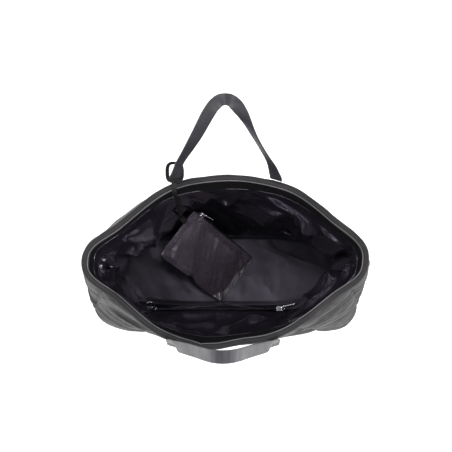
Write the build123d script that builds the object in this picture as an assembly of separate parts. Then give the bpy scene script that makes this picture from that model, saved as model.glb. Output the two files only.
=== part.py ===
from build123d import *
from math import atan, cos, degrees, hypot, pi, radians, sin, tan
import os

# Open-top quilted tote bag, standing on its base with the mouth pulled wide open.
# It has two webbing handles, a free-hanging satin lining with a zipped wall pocket,
# and a small zipped pouch tethered to the rear handle by a narrow strap.
# Millimetres: +X along the bag's width, +Y to its rear, +Z up.
# The origin is the centre of the flat face that the base rests on.

# ---- bag body ----
BAG_HEIGHT = 330.0          # top of the rolled hem
HEM_HEIGHT = 11.0           # rolled hem round the mouth
QUILT = 6.0                 # outer fabric, wadding and backing, sewn together
SKIN_GAP = 0.3              # slack left between two layers of cloth
LINING = 0.8
FACING = 1.2                # woven band between the hem and the lining
FACING_HEIGHT = 38.0
BOARD = 2.0                 # stiffener laid in the base
SEAM_WIDTH = 9.0            # tape over each side seam
SEAM_THICK = 1.0
PIPING_RADIUS = 0.9         # cord sewn along the hem's inner edge

# Horizontal outlines of the quilted wall, from the base up. Each row gives z, end (x, half width),
# flank (x, rear y, front y), shoulder (x, rear y, front y), rear y and front y.
WALL_LEVELS = (
    (0.0, (203.0, 22.0), (190.0, 50.0, -54.0), (112.0, 63.0, -68.0), 65.0, -70.0),
    (30.0, (209.0, 24.0), (197.0, 58.0, -74.0), (116.0, 80.0, -92.0), 86.0, -95.0),
    (110.0, (210.0, 20.0), (194.0, 54.0, -76.0), (114.0, 101.0, -100.0), 111.0, -107.0),
    (220.0, (208.0, 14.0), (172.0, 56.0, -64.0), (102.0, 106.0, -103.0), 117.0, -116.0),
    (330.0, (203.0, 11.0), (150.0, 57.0, -60.0), (90.0, 103.0, -104.0), 120.0, -124.0),
)
# Outlines of the lining, which hangs clear of the wall below the facing.
LINING_LEVELS = (
    (9.9, (178.0, 20.0), (168.0, 44.0, -44.0), (100.0, 56.0, -56.0), 57.0, -57.0),
    (100.0, (197.0, 17.0), (174.0, 48.0, -50.0), (106.0, 89.0, -66.0), 98.0, -66.0),
    (215.0, (198.0, 12.0), (160.0, 47.0, -47.0), (108.0, 91.0, -72.0), 104.0, -72.0),
    (291.4, (194.0, 9.0), (144.0, 48.0, -50.0), (87.0, 92.0, -93.0), 109.0, -113.0),
)

# ---- webbing handles ----
WEBBING_WIDTH = 17.0
WEBBING_THICK = 1.8
HANDLE_DROP = 240.0         # hinge line to the top of the loop
HANDLE_SPAN = 146.0         # between the centres of the two ends
HANDLE_TOP_RADIUS = 17.0
HANDLE_TWIST_END = 90.0     # height at which the webbing has turned edge-on to the wall
HINGE_HEIGHT = 336.0        # the webbing folds just above the hem
REAR_HANDLE = {"x": -1.0, "y": 118.5, "lean": 17.5}
FRONT_HANDLE = {"x": -4.0, "y": -118.0, "lean": -3.2}
SEWN_LENGTH = 40.0          # webbing sewn flat to the outside of the wall
SEWN_DROP = 15.0            # its top edge lies this far below the hinge line
SEWN_YAW = 17.0             # the wall turns this much across the webbing
SEWN_SLOPE = 8.0            # the wall leans out this much towards the hem
TACK = (13.0, 2.0, 0.8)

# ---- zips: one size of chain on the pocket and the pouch ----
TAPE_WIDTH = 24.0
TAPE_THICK = 0.8
CHAIN_WIDTH = 5.0
CHAIN_THICK = 2.2
ROW_GAP = 0.8               # between the two rows of teeth
SLIDER = (10.0, 9.0, 4.6)   # along the chain, across it, through it
PULL_LENGTH = 24.0
PULL_WIDTH = 5.0
PULL_THICK = 1.4
PULL_WIRE = 0.8             # the pull's eye, which turns under the slider's bridge
PULL_EYE = (3.5, 2.9)       # the hole in the eye

POCKET_CENTRE_X = -9.0
POCKET_ZIP_Z = 218.0
POCKET_ZIP_LENGTH = 190.0
POCKET_BAG_DEPTH = 140.0
POCKET_STAND = 4.0          # the tape sags this far in from the lining
KEY_RING_STAND = 6.0
KEY_RING_RADIUS = 7.5
KEY_RING_WIRE = 1.1
KEY_RING_TILT = 36.0        # it lies tilted on the zip tape

# ---- pouch, resting on a corner inside the bag and held up by its tether ----
POUCH_LENGTH = 152.0        # along the zip
POUCH_DEPTH = 96.0
POUCH_CLOTH = 1.6
POUCH_SLACK = 2.4           # space between the pouch's two walls
POUCH_CENTRE = (-29.0, 19.5, 63.0)
POUCH_TURN = -37.5          # heading of the zip, about +Z
POUCH_SLOPE = 36.5          # the tether holds the slider's end this far up

# ---- tether: a narrow strap looped round the rear handle and led over the hem to the pouch ----
TETHER_DIAMETER = 4.0
TETHER_LOOP = (23.0, 29.0)  # outside width and length of the loop round the webbing
TETHER_LOOP_TILT = 24.0     # its far side stands up
TETHER_ROUTE = (
    (-74.0, 110.2, 339.2),
    (-73.8, 103.4, 340.6),
    (-73.4, 96.0, 333.0),
    (-72.6, 92.5, 313.0),
    (-71.5, 91.5, 278.0),
    (-70.6, 89.0, 238.0),
    (-70.2, 85.0, 198.0),
    (-70.6, 81.5, 162.0),
    (-72.2, 79.2, 134.0),
    (-73.4, 80.2, 120.0),
)

os.makedirs("parts", exist_ok=True)


def save(name, shape):
    """Write one node."""
    export_step(shape, f"parts/{name}.step")


def group(solids):
    """Separate solids that share a node."""
    return Compound(children=list(solids))


# ---------------------------------------------------------------- outlines

def level_at(levels, z):
    """The outline row at any height, in a straight line between two rows."""
    upper = next(i for i in range(1, len(levels)) if z <= levels[i][0] or i == len(levels) - 1)
    low = levels[upper - 1]
    high = levels[upper]
    share = (z - low[0]) / (high[0] - low[0])

    def mix(a, b):
        if isinstance(a, tuple):
            return tuple(mix(p, q) for p, q in zip(a, b))
        return a + share * (b - a)

    return mix(low, high)


def outline_points(row):
    """Corners of one outline, anticlockwise from the rear of the right-hand end."""
    _, end, flank, shoulder, rear, front = row
    rear_half = [
        (end[0], end[1]),
        (flank[0], flank[1]),
        (shoulder[0], shoulder[1]),
        (0.0, rear),
        (-shoulder[0], shoulder[1]),
        (-flank[0], flank[1]),
        (-end[0], end[1]),
    ]
    front_half = [
        (-end[0], -end[1]),
        (-flank[0], flank[2]),
        (-shoulder[0], shoulder[2]),
        (0.0, front),
        (shoulder[0], shoulder[2]),
        (flank[0], flank[2]),
        (end[0], -end[1]),
    ]
    return rear_half + front_half


def outline(row, inset=0.0):
    """Closed curve at one height, moved inwards by inset."""
    corners = outline_points(row)
    moved = []
    for i, (x, y) in enumerate(corners):
        before = corners[i - 1]
        after = corners[(i + 1) % len(corners)]
        run = (after[0] - before[0], after[1] - before[1])
        size = hypot(*run)
        moved.append((x - inset * run[1] / size, y + inset * run[0] / size, row[0]))
    return Wire([Spline(*moved, periodic=True)])


def tube_wall(levels, low, high, outer_inset, inner_inset):
    """A wall that follows the outlines from one height to another."""
    heights = [low] + [row[0] for row in levels if low < row[0] < high] + [high]
    rows = []
    for z in heights:
        row = level_at(levels, z)
        rows.append((z,) + row[1:])
    outer = Solid.make_loft([outline(row, outer_inset) for row in rows], ruled=True)
    inner = Solid.make_loft([outline(row, inner_inset) for row in rows], ruled=True)
    return outer - inner


def half(shape, side):
    """The rear (side +1) or front (side -1) half of a wall, split at the side seams."""
    size = 600.0
    cutter = Pos(0, side * (size / 2 + SKIN_GAP / 2), 0) * Box(size, size, 2 * size)
    return (shape & cutter).solids()[0]


def slab(levels, z, thick, inset):
    """A flat panel with the outline at one height."""
    row = level_at(levels, z)
    face = Face(outline((z,) + row[1:], inset))
    return Solid.extrude(face, Vector(0, 0, thick))


# ---------------------------------------------------------------- bag body

def make_body():
    """Quilted walls and base, stiffener, lining, facing, hem, piping and seam tape."""
    wall_low = QUILT + SKIN_GAP
    hem_low = BAG_HEIGHT - HEM_HEIGHT
    facing_low = BAG_HEIGHT - FACING_HEIGHT
    lining_low = LINING_LEVELS[0][0]
    inside = QUILT + 2 * SKIN_GAP
    wall = tube_wall(WALL_LEVELS, wall_low, hem_low - SKIN_GAP, 0.0, QUILT)
    facing = tube_wall(WALL_LEVELS, facing_low, hem_low - SKIN_GAP, inside, inside + FACING)
    hem = tube_wall(WALL_LEVELS, hem_low, BAG_HEIGHT, -0.8, inside + FACING)
    lining = tube_wall(LINING_LEVELS, lining_low, facing_low - 2 * SKIN_GAP, 0.0, LINING)
    for name, shape in (("panel", wall), ("facing", facing), ("hem", hem), ("lining", lining)):
        save(f"rear_{name}", half(shape, 1))
        save(f"front_{name}", half(shape, -1))

    save("base_panel", slab(WALL_LEVELS, 0.0, QUILT, 0.0))
    board_low = QUILT + SKIN_GAP
    save("base_board", slab(((board_low,) + LINING_LEVELS[0][1:], LINING_LEVELS[1]), board_low, BOARD, 2.0))
    cloth_low = lining_low - SKIN_GAP - LINING
    save("base_lining", slab(((cloth_low,) + LINING_LEVELS[0][1:], LINING_LEVELS[1]), cloth_low, LINING, 0.0))

    tape = tube_wall(WALL_LEVELS, 12.0, hem_low - 1.0, -(SKIN_GAP + SEAM_THICK), -SKIN_GAP)
    for name, side in (("left", -1), ("right", 1)):
        band = Pos(side * 200, 0, BAG_HEIGHT / 2) * Box(60, SEAM_WIDTH, BAG_HEIGHT)
        save(f"{name}_side_seam", (tape & band).solids()[0])

    piping = tube_wall(
        WALL_LEVELS,
        BAG_HEIGHT + SKIN_GAP,
        BAG_HEIGHT + SKIN_GAP + 2 * PIPING_RADIUS,
        inside + FACING - 2 * PIPING_RADIUS,
        inside + FACING,
    )
    save("mouth_piping", piping.solids()[0])


# ---------------------------------------------------------------- handles

def handle_peak():
    """Height at which the two straight legs would meet above the rounded top."""
    half_span = HANDLE_SPAN / 2
    peak = HANDLE_DROP
    for _ in range(30):
        half_angle = atan(half_span / peak)
        peak = HANDLE_DROP + HANDLE_TOP_RADIUS * (1 / sin(half_angle) - 1)
    return peak


def handle_stations():
    """Centre, direction of the run and height share of the twist along the webbing."""
    half_span = HANDLE_SPAN / 2
    peak = handle_peak()
    half_angle = atan(half_span / peak)
    tangent_length = HANDLE_TOP_RADIUS / tan(half_angle)
    top_centre = HANDLE_DROP - HANDLE_TOP_RADIUS
    leg = hypot(half_span, peak) - tangent_length
    start = 1.0
    steps = 9
    stations = []
    for i in range(steps + 1):
        along = start + (leg - start) * i / steps
        x = -half_span + along * sin(half_angle)
        stations.append((x, along * cos(half_angle), half_angle))
    arc_steps = 8
    sweep = radians(180) - 2 * half_angle
    for i in range(1, arc_steps):
        turned = half_angle + sweep * i / arc_steps
        x = -HANDLE_TOP_RADIUS * cos(turned)
        stations.append((x, top_centre + HANDLE_TOP_RADIUS * sin(turned), turned))
    mirrored = [(-x, z, radians(180) - angle) for x, z, angle in reversed(stations[:steps + 1])]
    return stations + mirrored


def webbing_section(x, z, run_angle):
    """Closed rectangle across the webbing, turned from flat on the wall to edge-on."""
    run = Vector(sin(run_angle), 0, cos(run_angle))
    share = min(z / HANDLE_TWIST_END, 1.0)
    eased = share * share * (3 - 2 * share)
    side = -1.0 if x < 0 else 1.0
    turn = side * radians(90) * (1 - eased)
    across = Vector(0, 1, 0).rotate(Axis((0, 0, 0), tuple(run)), degrees(turn))
    normal = run.cross(across)
    centre = Vector(x, 0, z)
    corners = []
    for a, b in ((1, 1), (-1, 1), (-1, -1), (1, -1)):
        corners.append(centre + across * (a * WEBBING_WIDTH / 2) + normal * (b * WEBBING_THICK / 2))
    return Wire.make_polygon(corners, close=True)


def handle_place(handle):
    """Frame of a handle: its origin on the hinge line, leaning away from upright."""
    return Location((handle["x"], handle["y"], HINGE_HEIGHT)) * Rotation(-handle["lean"], 0, 0)


def sewn_ends(handle, side):
    """The two ends of the webbing, sewn flat to the wall, and the bar tacks that hold them."""
    ends = []
    tacks = []
    for hand in (-1, 1):
        x = handle["x"] + hand * HANDLE_SPAN / 2
        place = Location((x, handle["y"], HINGE_HEIGHT - SEWN_DROP))
        place = place * Rotation(side * SEWN_SLOPE, 0, -side * hand * SEWN_YAW)
        ends.append(place * (Pos(0, 0, -SEWN_LENGTH / 2) * Box(WEBBING_WIDTH, WEBBING_THICK, SEWN_LENGTH)))
        for drop in (0.45, 0.92):
            outside = side * (WEBBING_THICK / 2 + TACK[2] / 2)
            tacks.append(place * (Pos(0, outside, -SEWN_LENGTH * drop) * Box(TACK[0], TACK[2], TACK[1])))
    return ends, tacks


def make_handles():
    for name, handle, side in (("rear", REAR_HANDLE, 1), ("front", FRONT_HANDLE, -1)):
        sections = [webbing_section(*station) for station in handle_stations()]
        loop = Solid.make_loft(sections, ruled=True)
        save(f"{name}_handle", handle_place(handle) * loop)
        print(name, "handle volume", round(loop.volume), "valid", loop.is_valid)
        ends, tacks = sewn_ends(handle, side)
        save(f"{name}_strap_ends", group(ends))
        save(f"{name}_bar_tacks", group(tacks))


# ---------------------------------------------------------------- zips

def zip_slider():
    """Two plates joined by a web between the rows of teeth, with a bridge on top.

    The chain runs along X, and +Z faces out.
    """
    body = Box(SLIDER[0], SLIDER[1], SLIDER[2])
    body = fillet(body.edges().filter_by(Axis.Z), 2.0)
    web = Box(3.0, ROW_GAP - 0.4, SLIDER[2])
    tunnel = Box(SLIDER[0] + 2, CHAIN_WIDTH + 0.5, CHAIN_THICK + 0.5)
    tape_slot = Box(SLIDER[0] + 2, SLIDER[1] + 2, TAPE_THICK + 0.5)
    bridge = Pos(0, 0, SLIDER[2] / 2 + 1.0) * Box(7.0, 2.2, 2.0)
    eye = Pos(0, 0, SLIDER[2] / 2 + 0.6) * Box(3.6, 4.0, 1.4)
    return body - tunnel - tape_slot + web + bridge - eye


def zip_pull():
    """Flat tab with a wire eye round the origin, lying along +X; it swings about Y."""
    eye_end = PULL_EYE[0] + 1.5
    eye = Pos((eye_end - PULL_WIRE / 2) / 2, 0, 0) * Box(eye_end + PULL_WIRE / 2, PULL_WIDTH + 0.8, PULL_WIRE)
    eye = eye - Pos((PULL_WIRE + PULL_EYE[0]) / 2, 0, 0) * Box(PULL_EYE[0], PULL_EYE[1], 2.0)
    tab_length = PULL_LENGTH - eye_end
    tab = Pos(eye_end + tab_length / 2 - 0.1, 0, 0) * Box(tab_length, PULL_WIDTH, PULL_THICK)
    tab = fillet(tab.edges().filter_by(Axis.Z), 1.6)
    return tab + eye


def zip_parts(length):
    """Tape with a slot for the chain, the chain's two rows, and its end stops, along X."""
    tape = Box(length + 12, TAPE_WIDTH, TAPE_THICK) - Box(length + 4, CHAIN_WIDTH + 0.4, 2)
    chain = Box(length, CHAIN_WIDTH, CHAIN_THICK) - Box(length + 2, ROW_GAP, CHAIN_THICK + 2)
    stops = []
    for end in (-1, 1):
        stops.append(Pos(end * (length / 2 + 1.1), 0, 0) * Box(1.6, CHAIN_WIDTH, CHAIN_THICK + 0.4))
    return tape, chain, stops


def make_pocket():
    """Zipped pocket in the front wall of the lining, and the key ring beside its end."""
    face_y = LINING_LEVELS[2][5] + LINING
    place = Location((POCKET_CENTRE_X, face_y + POCKET_STAND, POCKET_ZIP_Z)) * Rotation(-90, 0, 0)
    tape, chain, stops = zip_parts(POCKET_ZIP_LENGTH)
    save("pocket_zip_tape", place * tape)
    save("pocket_zip_chain", place * chain)
    save("pocket_zip_stops", group([place * stop for stop in stops]))
    start = POCKET_ZIP_LENGTH / 2 - SLIDER[0] / 2 - 1
    save("pocket_slider", place * (Pos(start, 0, 0) * zip_slider()))
    lie = Pos(start, 0, SLIDER[2] / 2 + 0.6) * Rotation(0, -12, 0)
    save("pocket_pull", place * (lie * zip_pull()))

    bag = Box(POCKET_ZIP_LENGTH + 16, 2.0, POCKET_BAG_DEPTH)
    bag_place = Pos(POCKET_CENTRE_X, LINING_LEVELS[2][5] - 8.0, POCKET_ZIP_Z - POCKET_BAG_DEPTH / 2)
    save("pocket_bag", bag_place * bag)

    ring_x = POCKET_CENTRE_X - POCKET_ZIP_LENGTH / 2 - 10.0
    ring_y = face_y + KEY_RING_STAND
    tab = Pos(ring_x, ring_y, POCKET_ZIP_Z + 16.0) * Box(9.0, 1.6, 16.0)
    save("key_ring_tab", tab)
    ring = Torus(KEY_RING_RADIUS, KEY_RING_WIRE)
    pivot = Location((ring_x, ring_y, POCKET_ZIP_Z + 6.4))
    swing = pivot * Rotation(90 + KEY_RING_TILT, 0, 0) * Pos(0, -KEY_RING_RADIUS, 0)
    save("key_ring", swing * ring)


# ---------------------------------------------------------------- pouch and tether

def pouch_place():
    return Location(POUCH_CENTRE) * Rotation(0, 0, POUCH_TURN) * Rotation(0, POUCH_SLOPE, 0)


def make_pouch():
    """Two cloth walls closed by a zip along the upper edge, and a tether tab in the side seam."""
    place = pouch_place()
    offset = (POUCH_SLACK + POUCH_CLOTH) / 2
    for name, side in (("front", 1), ("back", -1)):
        wall = Pos(0, -3.0, side * offset) * Box(POUCH_LENGTH, POUCH_DEPTH - 6, POUCH_CLOTH)
        wall = fillet(wall.edges().filter_by(Axis.Z), 6.0)
        save(f"pouch_{name}_wall", place * wall)
    zip_y = POUCH_DEPTH / 2 - 3.0
    zip_length = POUCH_LENGTH - 22
    turned = Pos(0, zip_y, 0) * Rotation(-90, 0, 0)
    tape, chain, stops = zip_parts(zip_length)
    tape = tape & Box(POUCH_LENGTH, 7.6, 10)
    save("pouch_zip_tape", place * (turned * tape))
    save("pouch_zip_chain", place * (turned * chain))
    save("pouch_zip_stops", group([place * (turned * stop) for stop in stops]))
    start = -(zip_length / 2 - SLIDER[0] / 2 - 1)
    save("pouch_slider", place * (turned * (Pos(start, 0, 0) * zip_slider())))
    lie = Pos(start, 0, SLIDER[2] / 2 + 0.6) * Rotation(0, -9, 0)
    save("pouch_pull", place * (turned * (lie * zip_pull())))
    tab_y = POUCH_DEPTH / 2 - 27.0
    tab = Pos(-POUCH_LENGTH / 2 - 5.3, tab_y, 0) * Box(10.0, 9.0, 1.6)
    save("pouch_tab", place * tab)
    for corner in ((-1, 1), (1, 1), (1, -1), (-1, -1)):
        spot = place * Pos(corner[0] * POUCH_LENGTH / 2, corner[1] * POUCH_DEPTH / 2, 0)
        print("pouch corner", corner, [round(v, 1) for v in spot.position])
    print("pouch tab end", [round(v, 1) for v in (place * Pos(-POUCH_LENGTH / 2 - 10.3, tab_y, 0)).position])


def run_length(a, b):
    return hypot(b[0] - a[0], b[1] - a[1], b[2] - a[2])


def route_radii(route):
    """The largest tangent arc that each corner of a route has room for."""
    radii = []
    for before, corner, after in zip(route, route[1:], route[2:]):
        turn = (Vector(*corner) - Vector(*before)).get_angle(Vector(*after) - Vector(*corner))
        shorter = min(run_length(before, corner), run_length(corner, after))
        radii.append(0.45 * shorter / tan(radians(turn) / 2))
    return radii


def make_tether():
    """The loop round the webbing, and the free stretch over the hem and down to the pouch."""
    wide, deep = TETHER_LOOP
    thick = 1.6
    ring = Box(wide, deep, TETHER_DIAMETER) - Box(wide - 2 * thick, deep - 2 * thick, 2 * TETHER_DIAMETER)
    ring = fillet(ring.edges().filter_by(Axis.Z), 1.5)
    x = REAR_HANDLE["x"] - HANDLE_SPAN / 2 + 1.5
    place = Location((x, REAR_HANDLE["y"] + 6.0, HINGE_HEIGHT + 8.5)) * Rotation(TETHER_LOOP_TILT, 0, 0)
    save("tether_loop", place * ring)

    radii = route_radii(TETHER_ROUTE)
    print("tether radii", [round(radius, 1) for radius in radii])
    path = FilletPolyline(*TETHER_ROUTE, radius=radii)
    start = Plane(origin=path @ 0, z_dir=path % 0)
    tube = sweep(start * Circle(TETHER_DIAMETER / 2), path=path)
    section = pi * TETHER_DIAMETER ** 2 / 4
    print("tether length", round(path.length, 1), "volume share", round(tube.volume / section / path.length, 4))
    save("tether", tube)


make_body()
make_handles()
make_tether()
make_pocket()
make_pouch()
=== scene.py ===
from math import cos, pi, radians, sin

import bpy
import numpy as np
from mathutils import Matrix, Vector


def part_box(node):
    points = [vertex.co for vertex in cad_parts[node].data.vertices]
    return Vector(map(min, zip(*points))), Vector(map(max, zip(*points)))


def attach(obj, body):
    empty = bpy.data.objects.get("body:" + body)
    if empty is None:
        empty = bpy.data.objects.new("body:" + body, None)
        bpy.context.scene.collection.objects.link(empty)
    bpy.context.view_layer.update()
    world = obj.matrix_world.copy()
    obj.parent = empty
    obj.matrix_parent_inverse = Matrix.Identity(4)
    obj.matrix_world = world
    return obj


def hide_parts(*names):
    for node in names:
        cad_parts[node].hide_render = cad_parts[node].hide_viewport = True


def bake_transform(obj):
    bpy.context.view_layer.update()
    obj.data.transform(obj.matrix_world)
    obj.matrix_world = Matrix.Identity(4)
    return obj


# Looks of an open quilted tote bag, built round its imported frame.
# The shapes below are worked out in millimetres and turned into metres when a mesh is made.

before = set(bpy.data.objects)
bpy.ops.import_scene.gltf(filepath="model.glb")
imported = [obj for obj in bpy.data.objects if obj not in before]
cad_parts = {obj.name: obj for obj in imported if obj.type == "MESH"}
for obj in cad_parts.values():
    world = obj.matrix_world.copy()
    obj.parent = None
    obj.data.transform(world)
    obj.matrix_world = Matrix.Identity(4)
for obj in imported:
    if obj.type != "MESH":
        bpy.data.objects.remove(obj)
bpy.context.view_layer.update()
SCENE = bpy.context.scene
MM = 0.001

# ---- driving sizes, mm ----
BAG_TOP = 330.0
FACING_LOW = 291.0
FLOOR_Z = 10.0
SHELL_THICK = 4.6
PANELS = 10                     # quilted squares round the bag
QUILT_ROWS = (8.0, 34.0, 132.0, 230.0, 316.0)
QUILT_PUFF = 5.2
TOPSTITCH_ROWS = (11.6, 14.2, 16.8, 19.6)       # places along the hem's section, from outside below
STITCH_PITCH = 3.0
WEBBING = (17.0, 1.8)
HINGE_Z = 336.0
HANDLE_SPAN = 146.0
# Half of the handle's loop, in its own plane: x from its middle, and height above the hinge.
LOOP_LINE = (
    (HANDLE_SPAN / 2, 0), (64.5, 42), (50, 93), (37.5, 138), (28, 176), (20, 206), (12, 228), (5, 238),
    (0, 240))
# (height above the hinge, how far the webbing is turned from square to the loop's plane, in degrees).
FRONT_TWIST = ((0, 90), (16, 52), (40, 22), (80, 8), (150, 4), (240, 0))
TWISTS = {
    ("rear", -1): ((0, 90), (25, 120), (60, 116), (120, 96), (180, 74), (222, 44), (236, 20), (240, 0)),
    ("rear", 1): ((0, 90), (30, 120), (60, 132), (120, 136), (170, 120), (205, 84), (232, 34), (240, 0)),
    ("front", -1): FRONT_TWIST,
    ("front", 1): FRONT_TWIST,
}
BASE_TUCK = 4.0                 # the webbing lies this much closer to the hem at its base
SEWN_BOTTOM = 55.0              # lower edge of the sewn webbing, below the hinge
SEWN_YAW = 17.0                 # the walls turn away from the handles by this much, in degrees
SEWN_SLOPE = 8.0                # and lean by this much
HANDLES = {
    "rear": {"x": -1.0, "y": 118.5, "lean": 17.5, "side": 1.0},
    "front": {"x": -4.0, "y": -118.0, "lean": -3.2, "side": -1.0},
}
ZIP_Z = 218.0
ZIP_X = (-104.0, 86.0)

# Outlines of the wall: z and 14 corners anticlockwise from the rear of the right-hand end.
WALL_RINGS = (
    (0.0, ((203, 22), (190, 50), (112, 63), (0, 65), (-112, 63), (-190, 50), (-203, 22),
           (-203, -22), (-190, -54), (-112, -68), (0, -70), (112, -68), (190, -54), (203, -22))),
    (30.0, ((209, 24), (197, 58), (116, 80), (0, 86), (-116, 80), (-197, 58), (-209, 24),
            (-209, -24), (-198, -74), (-118, -94), (0, -97), (118, -94), (198, -74), (209, -24))),
    (110.0, ((210, 20), (190, 56), (114, 99), (0, 111), (-114, 99), (-190, 56), (-210, 20),
             (-211, -22), (-198, -76), (-122, -101), (0, -109), (122, -101), (198, -76), (211, -22))),
    (220.0, ((208, 14), (170, 60), (102, 104), (2, 118), (-92, 106), (-170, 58), (-208, 14),
             (-209, -16), (-178, -70), (-108, -105), (-6, -118), (98, -104), (178, -68), (208, -16))),
    (330.0, ((202, 10), (152, 64), (95, 105), (5, 122), (-74, 110), (-154, 53), (-203, 9),
             (-204, -11), (-154, -58), (-93, -106), (-12, -126), (77, -107), (152, -56), (200, -13))),
)
LINING_RINGS = (
    (FLOOR_Z, ((178, 20), (168, 44), (100, 56), (0, 57), (-100, 56), (-168, 44), (-178, 20),
               (-178, -20), (-168, -44), (-100, -56), (0, -57), (100, -56), (168, -44), (178, -20))),
    (100.0, ((197, 17), (174, 50), (106, 86), (0, 95), (-106, 86), (-174, 50), (-197, 17),
             (-197, -17), (-174, -50), (-106, -64), (0, -65), (106, -64), (174, -50), (197, -17))),
    (ZIP_Z, ((196, 12), (158, 49), (100, 88), (0, 99), (-92, 92), (-160, 47), (-198, 11),
             (-198, -12), (-156, -48), (-108, -68), (0, -68), (92, -68), (156, -47), (196, -12))),
)
COLUMNS = 960                   # round the bag in the finest meshes


# ---------------------------------------------------------------- camera

CAMERA_PLACE = (0.0, -0.097, 2.228)
CAMERA_LENS = 106.6             # mm, on a 36 mm sensor
CAMERA_DOWN = 85.6              # degrees below level


def make_camera():
    data = bpy.data.cameras.new("photo_camera")
    data.lens = CAMERA_LENS
    data.sensor_width = 36.0
    camera = bpy.data.objects.new("photo_camera", data)
    camera.location = CAMERA_PLACE
    camera.rotation_euler = (radians(90.0 - CAMERA_DOWN), 0.0, 0.0)
    SCENE.collection.objects.link(camera)
    SCENE.camera = camera


# ---------------------------------------------------------------- mesh helpers

def make_object(name, points_mm, faces, material, uv=None):
    """A mesh object from points in mm; uv holds one pair for each face corner."""
    mesh = bpy.data.meshes.new(name)
    mesh.from_pydata((np.asarray(points_mm, float) * MM).tolist(), [], [list(map(int, f)) for f in faces])
    if uv is not None:
        layer = mesh.uv_layers.new(name="Weave")
        layer.data.foreach_set("uv", np.asarray(uv, np.float32).ravel())
    mesh.polygons.foreach_set("use_smooth", [True] * len(mesh.polygons))
    mesh.validate()
    mesh.update()
    obj = bpy.data.objects.new(name, mesh)
    SCENE.collection.objects.link(obj)
    mesh.materials.append(material)
    return obj


def pairs(first, second):
    """A grid of (first, second) pairs, one row for each value of the second."""
    return np.stack(np.meshgrid(first, second), -1)


def grid_object(name, grid, material, wrap=(False, False), uv=None, flip=False, caps=False):
    """A mesh from a grid of points (rows, columns, 3), in mm, closed along either way, or capped."""
    rows, columns = grid.shape[:2]
    row_cells = rows if wrap[0] else rows - 1
    column_cells = columns if wrap[1] else columns - 1
    i, j = np.meshgrid(np.arange(row_cells), np.arange(column_cells), indexing="ij")
    corner_rows = np.stack([i, i, i + 1, i + 1], -1).reshape(-1, 4)
    corner_columns = np.stack([j, j + 1, j + 1, j], -1).reshape(-1, 4)
    faces = (corner_rows % rows) * columns + corner_columns % columns
    if uv is None:
        along = np.arange(column_cells + 1, dtype=float)
        across = np.arange(row_cells + 1, dtype=float)
        uv = pairs(along, across)
    corner_uv = uv[corner_rows, corner_columns].reshape(-1, 2)
    if flip:
        faces = faces[:, ::-1]
        corner_uv = corner_uv.reshape(-1, 4, 2)[:, ::-1].reshape(-1, 2)
    face_list = faces.tolist()
    if caps:
        first = [r * columns for r in range(rows)]
        last = [r * columns + columns - 1 for r in range(rows)]
        for end in ((first[::-1], last) if flip else (first, last[::-1])):
            face_list.append(end)
            corner_uv = np.concatenate([corner_uv, np.zeros((len(end), 2))])
    return make_object(name, grid.reshape(-1, 3), face_list, material, corner_uv)


def stand_for(piece, body, slot, *nodes):
    """Say which body a piece rides on and which CAD nodes it replaces; the slot argument is not used."""
    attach(piece, body)
    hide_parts(*nodes)


def join(objects, name):
    """One object from several."""
    with bpy.context.temp_override(active_object=objects[0], selected_editable_objects=objects):
        bpy.ops.object.join()
    objects[0].name = name
    objects[0].data.name = name
    return objects[0]


def bake_modifiers(obj):
    """Replace the mesh by what its modifiers make of it."""
    bpy.context.view_layer.update()
    made = bpy.data.meshes.new_from_object(obj.evaluated_get(bpy.context.evaluated_depsgraph_get()))
    obj.modifiers.clear()
    obj.data = made
    made.polygons.foreach_set("use_smooth", [True] * len(made.polygons))
    return obj


def coordinates(obj):
    flat = np.empty(len(obj.data.vertices) * 3)
    obj.data.vertices.foreach_get("co", flat)
    return flat.reshape(-1, 3)


def smooth_step(x):
    x = np.clip(x, 0.0, 1.0)
    return x * x * (3.0 - 2.0 * x)


LATTICE = np.random.RandomState(7).rand(48, 48, 48) * 2.0 - 1.0


def noise(points, size, seed=0.0):
    """Smooth noise from -1 to 1 at points in mm, with lumps of the given size."""
    q = np.asarray(points, float) / size + seed * 7.31
    cell = np.floor(q).astype(int)
    f = smooth_step(q - cell)
    total = 0.0
    for corner in np.ndindex(2, 2, 2):
        weight = 1.0
        for axis in range(3):
            weight = weight * (f[..., axis] if corner[axis] else 1.0 - f[..., axis])
        index = tuple((cell[..., axis] + corner[axis]) % 48 for axis in range(3))
        total = total + weight * LATTICE[index]
    return total


def line_noise(x, size, seed):
    """Smooth noise along one coordinate."""
    return noise(np.stack([x, 0 * x, 0 * x], -1), size, seed)


def layered_noise(points, size, seed=0.0, layers=3):
    return sum(noise(points, size / 2 ** k, seed + k) * 0.5 ** k for k in range(layers))


def unit(vectors):
    return vectors / np.maximum(np.linalg.norm(vectors, axis=-1, keepdims=True), 1e-9)


def put(points, matrix):
    """Points taken through a matrix."""
    turn = np.array(matrix.to_3x3())
    return np.asarray(points, float) @ turn.T + np.array(matrix.translation)


# ---------------------------------------------------------------- outlines of the bag

def hermite(x, knots, values):
    """Smooth curve through values at knots, for each x. values: (knots, ...)."""
    values = np.asarray(values, float)
    slopes = np.gradient(values, knots, axis=0)
    k = np.clip(np.searchsorted(knots, x) - 1, 0, len(knots) - 2)
    h = (knots[k + 1] - knots[k])
    s = (x - knots[k]) / h
    shape = s.shape + (1,) * (values.ndim - 1)
    s = s.reshape(shape)
    h = h.reshape(shape)
    return (
        (2 * s ** 3 - 3 * s ** 2 + 1) * values[k]
        + (s ** 3 - 2 * s ** 2 + s) * h * slopes[k]
        + (3 * s ** 2 - 2 * s ** 3) * values[k + 1]
        + (s ** 3 - s ** 2) * h * slopes[k + 1]
    )


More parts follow.
